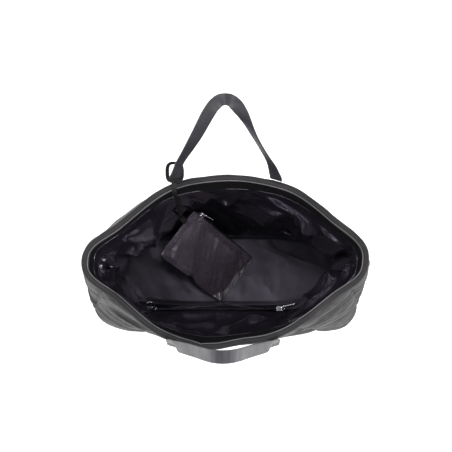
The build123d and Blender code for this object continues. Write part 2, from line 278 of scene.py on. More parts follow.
def closed_curve(corners, knots, t):
    """A closed outline through its corners, at shares t of the way round."""
    corners = np.asarray(corners, float)
    padded = np.concatenate([corners[-3:], corners, corners[:4]])
    spans = np.concatenate([knots[-3:] - 1.0, knots, knots[:4] + 1.0])
    return hermite(t % 1.0, spans, padded)


def corner_knots(corners):
    """Share of the way round at which each corner of the mouth lies."""
    corners = np.asarray(corners, float)
    steps = np.linalg.norm(np.roll(corners, -1, 0) - corners, axis=1)
    return np.concatenate([[0.0], np.cumsum(steps)[:-1]]) / steps.sum()


KNOTS = corner_knots(WALL_RINGS[-1][1])


def even_shares(count):
    """Shares that are evenly spaced along the mouth."""
    t = np.linspace(0.0, 1.0, 4001)
    line = closed_curve(WALL_RINGS[-1][1], KNOTS, t)
    length = np.concatenate([[0.0], np.cumsum(np.linalg.norm(np.diff(line, axis=0), axis=1))])
    return np.interp(np.arange(count) / count * length[-1], length, t), length[-1]


def runs_round(t, length):
    """Distance along the mouth of each column, and of the first one again after a full round."""
    return np.arange(len(t) + 1) / len(t) * length


def mouth_dent(line, z):
    """The front of the mouth: a pinched fold left of centre, and a stretch that sags inwards."""
    x = line[..., 0]
    front = line[..., 1] < 0
    near = np.exp(-(BAG_TOP - z) / 55.0)[:, None]
    fold = -2.5 * np.exp(-np.abs(x + 37.0) / 7.0) + 5.0 * np.exp(-((x - 22.0) / 30.0) ** 2)
    rear = -3.0 * np.exp(-((x - 60.0) / 26.0) ** 2) - 2.0 * np.exp(-((x + 30.0) / 30.0) ** 2)
    out = line.copy()
    out[..., 1] += near * np.where(front, fold, 0.35 * rear)
    return out


def wall_surface(t, z, inset=0.0):
    """Points (z, t, 3) of the wall and its outward directions; inset moves them inwards."""
    z = np.asarray(z, float)
    levels = np.array([row[0] for row in WALL_RINGS])
    rings = np.stack([closed_curve(row[1], KNOTS, t) for row in WALL_RINGS])
    line = mouth_dent(hermite(np.clip(z, 0.0, BAG_TOP), levels, rings), z)
    around = unit(np.roll(line, -1, 1) - np.roll(line, 1, 1))
    out = np.stack([around[..., 1], -around[..., 0], np.zeros(around.shape[:2])], -1)
    height = np.broadcast_to(z[:, None, None], line.shape[:2] + (1,))
    points = np.concatenate([line, height], -1) - out * np.asarray(inset)
    return points, out


def facing_inset(z):
    """The woven band leans inwards from the hem down to the lining."""
    return 8.2 + 6.0 * smooth_step((BAG_TOP - 2.0 - z) / (BAG_TOP - FACING_LOW))


# ---------------------------------------------------------------- materials

def material(name, base, roughness, **sockets):
    """A Principled material; returns it with its node tree and shader."""
    made = bpy.data.materials.new(name)
    made.use_nodes = True
    tree = made.node_tree
    shader = tree.nodes["Principled BSDF"]
    shader.inputs["Base Color"].default_value = (*base, 1.0)
    shader.inputs["Roughness"].default_value = roughness
    for key, value in sockets.items():
        shader.inputs[key.replace("_", " ")].default_value = value
    return made, tree, shader


def node(tree, kind, **inputs):
    made = tree.nodes.new(kind)
    for key, value in inputs.items():
        if key in made.inputs:
            made.inputs[key].default_value = value
        else:
            setattr(made, key, value)
    return made


def noise_node(tree, vector, scale, detail=3.0, rough=0.5):
    made = node(tree, "ShaderNodeTexNoise", Scale=scale, Detail=detail, Roughness=rough)
    tree.links.new(vector, made.inputs["Vector"])
    return made.outputs["Fac"]


def ramp(tree, factor, stops):
    made = tree.nodes.new("ShaderNodeValToRGB")
    elements = made.color_ramp.elements
    while len(elements) < len(stops):
        elements.new(0.5)
    for element, (place, colour) in zip(elements, stops):
        element.position = place
        element.color = (*colour, 1.0)
    tree.links.new(factor, made.inputs["Fac"])
    return made.outputs["Color"]


def grey(value):
    return (value, value, value)


def math_node(tree, operation, first, second=None):
    made = tree.nodes.new("ShaderNodeMath")
    made.operation = operation
    for socket, value in zip(made.inputs, (first, second)):
        if value is None:
            continue
        if isinstance(value, (int, float)):
            socket.default_value = value
        else:
            tree.links.new(value, socket)
    return made.outputs["Value"]


def bump(tree, shader, heights):
    """Chain bumps, each (height socket, distance in metres, strength)."""
    normal = None
    for height, distance, strength in heights:
        made = node(tree, "ShaderNodeBump", Distance=distance, Strength=strength)
        tree.links.new(height, made.inputs["Height"])
        if normal is not None:
            tree.links.new(normal, made.inputs["Normal"])
        normal = made.outputs["Normal"]
    tree.links.new(normal, shader.inputs["Normal"])


def weave_height(tree, uv, pitch_mm, twill=0.0):
    """Over-and-under threads from a UV map in mm."""
    split = tree.nodes.new("ShaderNodeSeparateXYZ")
    tree.links.new(uv, split.inputs["Vector"])
    turn = 2.0 * pi / pitch_mm
    u = math_node(tree, "MULTIPLY", split.outputs["X"], turn)
    v = math_node(tree, "MULTIPLY", split.outputs["Y"], turn)
    if twill:
        u = math_node(tree, "ADD", u, math_node(tree, "MULTIPLY", v, twill))
    wave_u = math_node(tree, "SINE", u)
    wave_v = math_node(tree, "SINE", v)
    return math_node(tree, "MULTIPLY", wave_u, wave_v)


def uv_socket(tree):
    return node(tree, "ShaderNodeUVMap", uv_map="Weave").outputs["UV"]


def object_socket(tree):
    return tree.nodes.new("ShaderNodeTexCoord").outputs["Object"]


def cloth_material(name, low, high, roughness, weave=None, crinkle=0.0, patch=14.0, **sockets):
    """Cloth whose colour drifts between two shades, with weave and small crinkles."""
    made, tree, shader = material(name, high, roughness[1], **sockets)
    place = object_socket(tree)
    drift = noise_node(tree, place, patch, 4.0, 0.6)
    tree.links.new(ramp(tree, drift, ((0.3, low), (0.7, high))), shader.inputs["Base Color"])
    rough = noise_node(tree, place, patch * 3.0, 3.0, 0.6)
    span = ramp(tree, rough, ((0.3, grey(roughness[0])), (0.7, grey(roughness[1]))))
    tree.links.new(span, shader.inputs["Roughness"])
    heights = []
    if crinkle:
        heights.append((noise_node(tree, place, 42.0, 2.0, 0.45), 0.004, crinkle))
    if weave:
        pitch, depth, twill = weave
        heights.append((weave_height(tree, uv_socket(tree), pitch, twill), 0.0001, depth))
    if heights:
        bump(tree, shader, heights)
    return made


def metal_material(name, base, roughness):
    made, tree, shader = material(name, base, roughness, Metallic=1.0)
    place = object_socket(tree)
    scratches = noise_node(tree, place, 900.0, 3.0, 0.7)
    span = ramp(tree, scratches, ((0.35, grey(roughness * 0.6)), (0.75, grey(roughness * 1.9))))
    tree.links.new(span, shader.inputs["Roughness"])
    bump(tree, shader, [(noise_node(tree, place, 260.0, 2.0), 0.0001, 0.12)])
    return made


def make_materials():
    made = {}
    made["shell"] = cloth_material(
        "quilted_nylon", (0.011, 0.0102, 0.0115), (0.019, 0.0175, 0.020), (0.40, 0.54),
        weave=(0.9, 0.30, 0.0), crinkle=0.5, Specular_IOR_Level=0.16)
    made["hem"] = cloth_material(
        "hem_nylon", (0.015, 0.0138, 0.0152), (0.028, 0.0255, 0.0275), (0.52, 0.66),
        weave=(0.9, 0.35, 0.0), crinkle=0.15, Specular_IOR_Level=0.22)
    made["lining"] = cloth_material(
        "lining_satin", (0.008, 0.0068, 0.0102), (0.013, 0.0115, 0.016), (0.14, 0.21),
        weave=(0.5, 0.03, 0.0), crinkle=0.05, IOR=2.3, Specular_Tint=(0.92, 0.87, 1.0, 1.0))
    made["floor_lining"] = cloth_material(
        "floor_satin", (0.018, 0.016, 0.020), (0.034, 0.031, 0.037), (0.30, 0.40),
        weave=(0.5, 0.12, 0.0), crinkle=0.06, patch=9.0, Specular_IOR_Level=0.5,
        Specular_Tint=(0.86, 0.8, 1.0, 1.0))
    made["pouch"] = cloth_material(
        "pouch_satin", (0.070, 0.057, 0.076), (0.125, 0.103, 0.134), (0.24, 0.33),
        weave=(0.5, 0.12, 0.0), crinkle=0.10, Specular_IOR_Level=0.8,
        Sheen_Weight=0.15, Sheen_Roughness=0.3)
    made["facing"] = cloth_material(
        "facing_weave", (0.0022, 0.002, 0.0026), (0.005, 0.0046, 0.0056), (0.8, 0.92),
        weave=(1.4, 0.9, 1.0), crinkle=0.1, Specular_IOR_Level=0.16)
    made["piping"] = cloth_material(
        "satin_piping", (0.055, 0.054, 0.060), (0.12, 0.117, 0.128), (0.28, 0.4),
        weave=(1.1, 0.4, 1.0), Specular_IOR_Level=0.8)
    made["webbing"] = cloth_material(
        "seatbelt_webbing", (0.028, 0.028, 0.033), (0.044, 0.043, 0.051), (0.38, 0.50),
        weave=(1.7, 0.45, 1.0), Specular_IOR_Level=0.30)
    made["thread"] = cloth_material(
        "sewing_thread", (0.030, 0.029, 0.032), (0.06, 0.058, 0.064), (0.5, 0.65), Specular_IOR_Level=0.5)
    made["strap"] = cloth_material(
        "tether_webbing", (0.007, 0.007, 0.008), (0.013, 0.0125, 0.014), (0.6, 0.75),
        weave=(1.0, 0.8, 1.0), Specular_IOR_Level=0.3)
    made["tape"] = cloth_material(
        "zip_tape_weave", (0.008, 0.008, 0.009), (0.014, 0.0135, 0.015), (0.62, 0.8),
        weave=(0.8, 0.7, 0.0), Specular_IOR_Level=0.3)
    made["coil"] = cloth_material(
        "nylon_coil", (0.012, 0.012, 0.013), (0.02, 0.02, 0.021), (0.25, 0.36), Specular_IOR_Level=0.6)
    made["board"] = cloth_material(
        "board_plastic", (0.02, 0.02, 0.02), (0.03, 0.03, 0.03), (0.5, 0.6), crinkle=0.1)
    made["chrome"] = metal_material("bright_chrome", (0.80, 0.80, 0.83), 0.10)
    made["steel"] = metal_material("dark_steel", (0.23, 0.23, 0.25), 0.24)
    return made


MATERIALS = {}


# ---------------------------------------------------------------- bag body

def seam_distance(u_mm, length, start):
    """Distance round the bag to the nearest vertical seam."""
    size = length / PANELS
    phase = ((u_mm - start) / size) % 1.0
    return np.minimum(phase, 1.0 - phase) * size


def row_distance(z):
    rows = np.array(QUILT_ROWS)
    return np.abs(np.asarray(z)[:, None] - rows[None, :]).min(1)


def shell_relief(t, z, points, length):
    """How far the quilted cloth stands out of the plain wall, in mm."""
    u = np.arange(len(t)) / len(t) * length
    first_seam = np.argmin(np.hypot(points[-1, :, 0] + 100.0, points[-1, :, 1] + 104.0)) / len(t) * length
    across = seam_distance(u, length, first_seam)
    down = row_distance(z)
    du = np.broadcast_to(across[None, :], (len(z), len(t)))
    dz = np.broadcast_to(down[:, None], (len(z), len(t)))
    crown = (1.0 - np.exp(-du / 11.0)) * (1.0 - np.exp(-dz / 11.0))
    relief = QUILT_PUFF * (crown ** 0.75 - 0.62)
    ripple_u = np.sin(u / 8.5 * 2 * pi + 2.2 * line_noise(u, 23.0, 3))[None, :]
    ripple_z = np.sin(z / 9.0 * 2 * pi + 2.0 * line_noise(z, 21.0, 5))[:, None]
    relief = relief + 0.55 * ripple_u * np.exp(-dz / 7.0) + 0.5 * ripple_z * np.exp(-du / 7.0)
    stretched = np.stack([np.broadcast_to(u[None, :], dz.shape) / 5.0, dz * 0,
                          np.broadcast_to(z[:, None], dz.shape)], -1)
    stretched[..., 2] += 0.16 * np.abs(points[..., 0])
    corner = smooth_step((np.abs(points[..., 0]) - 60.0) / 70.0)
    front = smooth_step((30.0 - points[..., 1]) / 50.0)
    fade = (smooth_step((322.0 - z) / 40.0) * smooth_step((z - 10.0) / 40.0))[:, None]
    long_fold = 1.0 - np.abs(layered_noise(stretched, 30.0, 2.0, 2)) * 2.0
    relief = relief + fade * (0.35 + 0.65 * corner * front) * 2.6 * (long_fold - 0.4)
    relief = relief + fade * 0.8 * layered_noise(points, 26.0, 9.0, 3)
    return relief


def make_shell():
    t, length = even_shares(COLUMNS)
    z = np.concatenate([np.linspace(5.5, 40.0, 34), np.linspace(41.5, 319.0, 186)])
    points, out = wall_surface(t, z)
    relief = shell_relief(t, z, points, length)
    fade = smooth_step((z - 5.5) / 8.0) * smooth_step((322.0 - z) / 6.0)
    outer = points + out * (relief * fade[:, None])[..., None]
    curl = (1.0 - np.clip((z - 5.5) / 14.0, 0.0, 1.0)) ** 2
    outer -= out * (6.0 * curl)[:, None, None]
    inner = outer[::-1][::6] - out[::-1][::6] * SHELL_THICK
    inner[:, :, 2] = np.clip(inner[:, :, 2], 6.5, 318.0)
    grid = np.concatenate([outer, inner])
    uv = pairs(runs_round(t, length), np.arange(len(grid) + 1) * 1.5)
    shell = grid_object("quilted_shell", grid, MATERIALS["shell"], wrap=(True, True), uv=uv)
    stand_for(shell, "bag", "quilted_shell", "rear_panel", "front_panel")
    return outer, z


def make_base():
    """Quilted base: flat where it rests, with its stitched squares drawn up underneath."""
    t, _ = even_shares(420)
    points, _ = wall_surface(t, [3.0], 4.0)
    edge = points[0, :, :2]
    shares = np.concatenate([np.linspace(1.0, 0.9, 12), np.linspace(0.88, 0.012, 62)])
    xy = edge[None] * shares[:, None, None]
    groove = np.minimum(
        np.abs((xy[..., 0] + 48.5) % 97.0 - 48.5), np.abs((xy[..., 1] + 36.0) % 72.0 - 36.0))
    round_edge = 5.5 * smooth_step((shares - 0.955) / 0.045) ** 2
    low = 1.7 * np.exp(-groove / 3.2) + round_edge[:, None]
    under = np.concatenate([xy, low[..., None]], -1)
    top = np.concatenate([xy, np.full(low.shape, 6.4)[..., None]], -1)[::-1][::4]
    grid = np.concatenate([under, top])
    base = grid_object("quilted_base", grid, MATERIALS["shell"], wrap=(True, True), flip=True,
                       uv=pairs(np.arange(421) * 2.4, np.arange(len(grid) + 1) * 1.6))
    stand_for(base, "bag", "quilted_shell", "base_panel")


def hem_profile():
    """Section of the padded hem: (inset from the wall, height), from outside below to inside below."""
    shape = np.array((
        (0.4, -13.0), (-0.9, -10.5), (-1.4, -7.0), (-1.0, -3.6), (0.2, -1.3), (1.8, -0.2), (3.4, 0.15),
        (5.0, 0.1), (6.4, -0.35), (7.4, -1.2), (8.0, -2.6), (8.2, -6.0), (8.0, -12.0), (5.0, -13.0),
        (2.5, -13.2)))
    run = np.concatenate([[0.0], np.cumsum(np.linalg.norm(np.diff(shape, axis=0), axis=1))])
    places = np.concatenate([np.linspace(0.0, run[11], 64), np.linspace(run[11], run[-1], 9)[1:]])
    return hermite(places, run, shape), places


def make_hem():
    """Rolled, padded hem with rows of topstitching, its satin piping and the woven facing."""
    t, length = even_shares(COLUMNS * 2)
    profile, places = hem_profile()
    plain, out = wall_surface(t, [BAG_TOP])
    u = np.arange(len(t)) / len(t) * length
    stitch = 0.5 + 0.5 * np.cos(u / STITCH_PITCH * 2 * pi)
    relief = np.zeros((len(places), len(t)))
    for row in TOPSTITCH_ROWS:
        near = np.exp(-((places - row) / 0.42) ** 2)
        relief -= near[:, None] * (0.20 + 0.30 * stitch[None, :])
    drift = np.stack([plain[0, :, 0], plain[0, :, 1], 0 * u], -1)
    relief += 0.5 * noise(drift[None] + places[:, None, None] * 1.5, 17.0, 4)
    swell = 1.0 + 0.10 * noise(drift, 38.0, 6)
    normal_2d = np.gradient(profile, places, axis=0)
    normal_2d = unit(np.stack([-normal_2d[:, 1], normal_2d[:, 0]], -1))
    inset = profile[:, 0:1] * swell[None, :] + normal_2d[:, 0:1] * relief
    height = BAG_TOP + profile[:, 1:2] * swell[None, :] + normal_2d[:, 1:2] * relief
    height = height + 0.8 * noise(drift, 60.0, 8)[None, :]
    xy = plain[0][None, :, :2] - out[0][None, :, :2] * inset[..., None]
    grid = np.concatenate([xy, height[..., None]], -1)
    uv = pairs(runs_round(t, length), np.append(places, places[-1] + 1))
    hem = grid_object("padded_hem", grid, MATERIALS["hem"], wrap=(True, True), uv=uv)
    stand_for(hem, "bag", "quilted_shell", "rear_hem", "front_hem")
    make_piping(plain[0], out[0], length)
    make_facing()


def make_piping(line, out, length):
    step = 2
    centre = line[::step] - out[::step] * 7.9
    centre[:, 2] = BAG_TOP - 0.5 + 0.8 * noise(line[::step] * (1, 1, 0), 60.0, 8)
    turns = np.arange(10) / 10 * 2 * pi
    side = out[::step][None] * np.cos(turns)[:, None, None]
    up = np.array([0.0, 0.0, 1.0]) * np.sin(turns)[:, None, None]
    grid = centre[None] + (side + up) * 0.8
    uv = pairs(np.arange(len(centre) + 1) / len(centre) * length, np.arange(11) * 0.5)
    piping = grid_object(
        "mouth_piping_cord", grid, MATERIALS["piping"], wrap=(True, True), uv=uv, flip=True)
    stand_for(piping, "bag", "satin_piping", "mouth_piping")


def make_facing():
    t, length = even_shares(COLUMNS)
    z = np.linspace(BAG_TOP - 1.5, FACING_LOW - 1.5, 40)
    inset = facing_inset(z)
    plain, out = wall_surface(t, z)
    wave = 1.3 * layered_noise(plain * (1, 1, 0.5), 42.0, 12.0, 2)
    wave *= smooth_step((BAG_TOP - 6 - z) / 20.0)[:, None]
    face = plain - out * (inset[:, None] + wave)[..., None]
    back = face[::-1][::3] + out[::-1][::3] * 1.1
    grid = np.concatenate([face, back])
    uv = pairs(runs_round(t, length), np.arange(len(grid) + 1))
    facing = grid_object("woven_facing_band", grid, MATERIALS["facing"], wrap=(True, True), uv=uv)
    stand_for(facing, "bag", "woven_facing", "rear_facing", "front_facing")


def make_side_seams(outer, z):
    """Bound seam down each end of the bag, over the quilting."""
    columns = outer.shape[1]
    for name, sign in (("left", -1.0), ("right", 1.0)):
        middle = int(np.argmin(np.where(outer[-1, :, 0] * sign > 0, np.abs(outer[-1, :, 1] + 1.5), 1e9)))
        picks = (middle + np.arange(-4, 5)) % columns
        rows = np.arange(8, len(z) - 1, 1)
        face = outer[rows][:, picks]
        along = unit(np.gradient(face, axis=1))
        down = unit(np.gradient(face, axis=0))
        normal = unit(np.cross(along, down))
        normal *= np.sign((normal * (sign, 0, 0)).sum(-1, keepdims=True))
        place = np.linspace(-1.0, 1.0, 9)
        lift = 0.5 + 0.9 * np.sqrt(np.clip(1.0 - place ** 2, 0.0, 1.0))
        lift = lift[None, :] - 0.35 * np.exp(-((np.abs(place) - 0.72) / 0.1) ** 2)[None, :]
        lift = lift + 0.25 * noise(face * (0, 1, 1), 12.0, 5)
        front = face + normal * lift[..., None]
        back = face[:, ::-1] + normal[:, ::-1] * 0.05
        grid = np.concatenate([front, back], axis=1).transpose(1, 0, 2)
        seam = grid_object(f"{name}_seam_binding", grid, MATERIALS["hem"], wrap=(True, False), caps=True,
                           uv=pairs(z[rows], np.arange(19) * 1.0), flip=sign > 0)
        stand_for(seam, "bag", "quilted_shell", f"{name}_side_seam")


# ---------------------------------------------------------------- lining

def lining_surface(t, z):
    top, _ = wall_surface(t, [FACING_LOW], facing_inset(np.array([FACING_LOW]))[0] + 0.5)
    levels = np.array([row[0] for row in LINING_RINGS] + [FACING_LOW])
    rings = np.stack([closed_curve(row[1], KNOTS, t) for row in LINING_RINGS] + [top[0, :, :2]])
    line = hermite(np.asarray(z, float), levels, rings)
    height = np.broadcast_to(np.asarray(z, float)[:, None, None], line.shape[:2] + (1,))
    return np.concatenate([line, height], -1)


def pin_group(obj, weights):
    group = obj.vertex_groups.new(name="held")
    for level in np.unique(weights[weights > 0]):
        group.add(np.nonzero(weights == level)[0].tolist(), float(level), "REPLACE")


def add_cloth(obj, grow, bending, tension, gravity, pressure=0.0):
    cloth = obj.modifiers.new("cloth", "CLOTH")
    settings = cloth.settings
    settings.quality = 6
    settings.mass = 0.12
    settings.tension_stiffness = tension
    settings.compression_stiffness = tension
    settings.shear_stiffness = tension * 0.5
    settings.bending_stiffness = bending
    settings.tension_damping = 6.0
    settings.compression_damping = 6.0
    settings.air_damping = 2.5
    settings.shrink_min = -grow
    settings.vertex_group_mass = "held"
    settings.pin_stiffness = 2.0
    settings.effector_weights.gravity = gravity
    if pressure:
        settings.use_pressure = True
        settings.uniform_pressure_force = pressure
    cloth.collision_settings.distance_min = 0.0015
    cloth.collision_settings.collision_quality = 3


def add_collider(obj, thick):
    obj.modifiers.new("collision", "COLLISION")
    obj.collision.thickness_outer = thick
    obj.collision.thickness_inner = thick
    obj.collision.cloth_friction = 4.0


LINING_GRID = (86, 300)          # points down and round the lining
RING_CLEAR = (-119.0, -71.0, 214.0)     # the lining keeps clear of the key ring round this point
SETTLE_FRAMES = 34
LINING_SLUMP = 34.0             # no point of the lining moves further than this
POUCH_SLUMP = 9.0

# Long creases in the lining: side of the bag, ends (x, z), how far the crest stands in, and its half width.
CREASES = (
    (1, (94, 230), (22, 16), 9.0, 9.0),
    (1, (22, 16), (54, 74), 8.0, 6.0),
    (1, (54, 74), (68, 18), 7.0, 6.0),
    (1, (68, 18), (100, 90), 8.0, 8.0),
    (1, (12, 110), (90, 170), 8.0, 14.0),
    (1, (100, 285), (134, 30), 10.0, 8.0),
    (1, (118, 285), (172, 60), 9.0, 7.0),
    (1, (-112, 285), (-160, 60), 12.0, 13.0),
    (1, (-140, 285), (-178, 150), 8.0, 7.0),
    (1, (-128, 240), (-96, 40), 7.0, 12.0),
    (1, (-64, 285), (-6, 150), 9.0, 10.0),
    (1, (-30, 285), (20, 240), 6.0, 8.0),
    (-1, (-184, 280), (-150, 90), 12.0, 10.0),
    (-1, (-156, 285), (-168, 110), 9.0, 7.0),
    (-1, (-100, 280), (-66, 232), 8.0, 8.0),
    (-1, (-40, 284), (-10, 232), 7.0, 9.0),
    (-1, (26, 284), (48, 232), 7.0, 10.0),
    (-1, (10, 262), (90, 246), 6.0, 8.0),
    (-1, (112, 284), (150, 60), 10.0, 8.0),
    (-1, (160, 280), (186, 60), 9.0, 8.0),
    (1, (-156, 266), (-106, 240), 25.0, 8.5),
    (1, (-168, 236), (-124, 214), 22.0, 7.5),
    (1, (-188, 258), (-170, 244), 20.0, 7.0),
    (-1, (-190, 266), (-164, 238), 24.0, 7.5),
    (-1, (-186, 228), (-152, 206), 20.0, 7.5),
    (1, (108, 266), (150, 242), 22.0, 7.5),
    (1, (-10, 238), (18, 228), 16.0, 6.0),
    (1, (34, 214), (96, 236), 15.0, 7.0),
    (-1, (142, 262), (182, 236), 24.0, 7.5),
    (-1, (136, 226), (176, 214), 20.0, 7.5),
    (-1, (-198, 280), (-174, 264), 20.0, 6.5),
    (-1, (-198, 246), (-178, 224), 20.0, 6.5),
    (1, (-200, 276), (-180, 258), 18.0, 6.5),
    (-1, (174, 272), (197, 256), 18.0, 6.5),
    (1, (136, 274), (176, 260), 20.0, 6.5),
    (-1, (104, 270), (146, 256), 18.0, 6.5),
    (-1, (-70, 268), (-20, 258), 13.0, 6.5),
    (1, (52, 272), (104, 262), 16.0, 6.5),
)


def crease_depth(grid):
    """How far the creases push the lining inwards at each point."""
    depth = np.zeros(grid.shape[:2])
    x, y, z = grid[..., 0], grid[..., 1], grid[..., 2]
    for side, start, end, height, width in CREASES:
        run = np.subtract(end, start).astype(float)
        share = np.clip(((x - start[0]) * run[0] + (z - start[1]) * run[1]) / (run @ run), 0.0, 1.0)
        gap = np.hypot(x - start[0] - share * run[0], z - start[1] - share * run[1])
        taper = 0.35 + 0.65 * np.sin(pi * np.clip(share, 0.02, 0.98))
        depth += np.where(y * side > 0, height * taper * np.exp(-(gap / width) ** 1.15), 0.0)
    return depth


def lining_start():
    """The lining as sewn, before it slumps: held at the facing, the pocket zip and the floor."""
    t, length = even_shares(LINING_GRID[1])
    z = np.linspace(FACING_LOW, FLOOR_Z, LINING_GRID[0])
    grid = lining_surface(t, z)
    out = unit(np.roll(grid, -1, 1) - np.roll(grid, 1, 1))
    out = np.stack([out[..., 1], -out[..., 0], 0 * out[..., 0]], -1)
    share = np.sin(np.linspace(0.0, pi, len(z)))[:, None]
    wander = 8.0 * layered_noise(grid * (1.0, 1.0, 0.4), 62.0, 15.0, 2) + 2.0
    near = np.minimum(1.0, share * 2.5)
    grid = grid - out * (near * (0.5 * crease_depth(grid) + wander * share))[..., None]
    uv = pairs(runs_round(t, length), FACING_LOW - z)
    lining = grid_object("lining_walls", grid, MATERIALS["lining"], wrap=(False, True), uv=uv)
    held = np.zeros(grid.shape[:2])
    held[0] = 1.0
    held[-1] = 1.0
    front = (grid[..., 1] < 0) & (grid[..., 0] > ZIP_X[0] - 4) & (grid[..., 0] < ZIP_X[1] + 4)
    held[front & (np.abs(grid[..., 2] - ZIP_Z) < 6.5)] = 1.0
    pin_group(lining, held.ravel())
    ridges = 4.0 * (1.0 - 2.2 * np.abs(noise(grid * (1.0, 1.0, 0.35), 64.0, 27)))
    crest = near * (0.95 * crease_depth(grid) + ridges)
    return lining, -(out * crest[..., None]).reshape(-1, 3) * MM


POUCH_SIZE = (152.0, 96.0)
POUCH_GRID = (73, 113)
POUCH_MATRIX = (
    Matrix.Translation((-29.0, 19.5, 63.0))
    @ Matrix.Rotation(radians(-37.5), 4, "Z")
    @ Matrix.Rotation(radians(36.5), 4, "Y")
)


def pouch_place(points):
    """Points in the pouch's own frame, taken to where it lies, in mm."""
    return put(points, POUCH_MATRIX)


def pouch_start():
    """Two walls sewn round three sides and closed by the zip along the fourth."""
    rows, columns = POUCH_GRID
    x = np.linspace(-1.0, 1.0, columns) * POUCH_SIZE[0] / 2
    y = np.linspace(-1.0, 1.0, rows) * (POUCH_SIZE[1] / 2 - 3.0) - 1.5
    gx, gy = np.meshgrid(x, y)
    edge = np.minimum.reduce([gx - x[0], x[-1] - gx, gy - y[0], y[-1] - gy])
    corner = np.clip(1.0 - np.hypot(np.abs(gx) - 76.0, np.abs(gy) - 46.0) / 12.0, 0.0, 1.0)
    gx = gx * (1.0 - 0.02 * corner)
    gy = gy * (1.0 - 0.03 * corner)
    puff = 2.0 * (1.0 - np.exp(-edge / 7.0))
    wander = 0.8 * layered_noise(np.stack([gx, gy, 0 * gx], -1), 26.0, 21.0, 3)
    front = np.stack([gx, gy, puff + wander * (edge > 0)], -1)
    back = np.stack([gx, gy, -puff + wander * (edge > 0)], -1)
    points = np.concatenate([front.reshape(-1, 3), back.reshape(-1, 3)])
    count = rows * columns
    starts = [j * columns + i for j in range(rows - 1) for i in range(columns - 1)]
    cells = [(a, a + 1, a + columns + 1, a + columns) for a in starts]
    border = {j * columns + i for j in range(rows) for i in range(columns)
              if j in (0, rows - 1) or i in (0, columns - 1)}
    faces = list(cells)
    for cell in cells:
        faces.append([c if c in border else c + count for c in cell][::-1])
    used = sorted({c for face in faces for c in face})
    index = {old: new for new, old in enumerate(used)}
    faces = [[index[c] for c in face] for face in faces]
    flat = points[used]
    uv = np.array([flat[c][:2] for face in faces for c in face])
    pouch = make_object("pouch_walls", pouch_place(flat), faces, MATERIALS["pouch"], uv)
    held = np.zeros(len(used))
    held[flat[:, 1] > y[-1] - 0.1] = 1.0
    for sx in (-1, 1):
        held[(np.hypot(flat[:, 0] - sx * 74.0, flat[:, 1] + 44.0) < 3.0)] = 1.0
    held[(np.abs(flat[:, 0]) > 75.0) & (held == 0)] = 0.6
    pin_group(pouch, held)
    return pouch


def make_colliders():
    """Stand-ins that keep the cloth in its place while it settles."""
    t, _ = even_shares(160)
    shell, _ = wall_surface(t, np.linspace(4.0, 328.0, 26), 6.0)
    wall = grid_object("keep_wall", shell, MATERIALS["board"], wrap=(False, True), flip=True)
    level = np.array([[(x, y, FLOOR_Z - 1.6) for x in (-230, 0, 230)] for y in (-130, 0, 130)], float)
    ground = grid_object("keep_floor", level, MATERIALS["board"])
    slab = np.array([[(x, y, 5.0) for x in np.linspace(-79, 79, 12)] for y in np.linspace(-50, 52, 9)])
    top = grid_object("keep_pouch_top", pouch_place(slab), MATERIALS["board"])
    under = grid_object("keep_pouch_low", pouch_place(slab * (1, 1, -1)), MATERIALS["board"], flip=True)
    keepers = [wall, ground, top, under]
    for keeper in keepers:
        add_collider(keeper, 0.002)
    return keepers


def settle(lining, inward, pouch, keepers):
    """Let the lining and the pouch slump and crease, then keep the result as plain meshes."""
    add_cloth(lining, grow=0.045, bending=4.0, tension=14.0, gravity=1.0)
    add_cloth(pouch, grow=0.07, bending=0.12, tension=10.0, gravity=0.3, pressure=0.12)
    rest = {lining.name: coordinates(lining), pouch.name: coordinates(pouch)}
    room = [keeper for keeper in keepers if not keeper.name.startswith("keep_pouch")]
    for cloth, met in ((lining, keepers), (pouch, room)):
        group = bpy.data.collections.new(f"{cloth.name}_keepers")
        SCENE.collection.children.link(group)
        for keeper in met:
            group.objects.link(keeper)
        cloth.modifiers["cloth"].collision_settings.collection = group
    SCENE.frame_start = 1
    SCENE.frame_end = SETTLE_FRAMES
    for number in range(1, SETTLE_FRAMES + 1):
        SCENE.frame_set(number)
    for obj, limit in ((lining, LINING_SLUMP), (pouch, POUCH_SLUMP)):
        bake_modifiers(obj)
        moved = coordinates(obj) - rest[obj.name]
        size = np.linalg.norm(moved, axis=1, keepdims=True)
        kept = rest[obj.name] + moved * np.minimum(1.0, limit * MM / np.maximum(size, 1e-9))
        obj.data.vertices.foreach_set("co", kept.ravel())
        obj.data.update()
    SCENE.frame_set(1)
    for keeper in keepers:
        bpy.data.objects.remove(keeper)
    fold_lining(lining, inward)
    fold_pouch(pouch)
    for obj in (lining, pouch):
        finer = obj.modifiers.new("finer", "SUBSURF")
        finer.levels = 1
        finer.render_levels = 1
        if obj is lining:
            thick = obj.modifiers.new("cloth_thickness", "SOLIDIFY")
            thick.thickness = 0.0007
            thick.offset = -1.0
        bake_modifiers(obj)


def fold_lining(lining, inward):
    """Ease out the finest crumpling of the settled lining, then press its long creases in."""
    points = coordinates(lining).reshape(*LINING_GRID, 3)
    for _ in range(7):
        points = (np.roll(points, 1, 1) + 2.0 * points + np.roll(points, -1, 1)) / 4.0
        points[1:-1] = (points[:-2] + 2.0 * points[1:-1] + points[2:]) / 4.0
    points = points + inward.reshape(points.shape)
    # The lining hangs back from the key ring's swing, beside the pocket zip.
    x, y, z = points[..., 0], points[..., 1], points[..., 2]
    gap = np.hypot((x / MM - RING_CLEAR[0]) / 24.0, (z / MM - RING_CLEAR[2]) / 30.0)
    limit = (RING_CLEAR[1] + 60.0 * smooth_step(gap - 0.75)) * MM
    points[..., 1] = np.where((y < 0) & (gap < 1.75), np.minimum(y, limit), y)
    lining.data.vertices.foreach_set("co", points.ravel())
    lining.data.update()


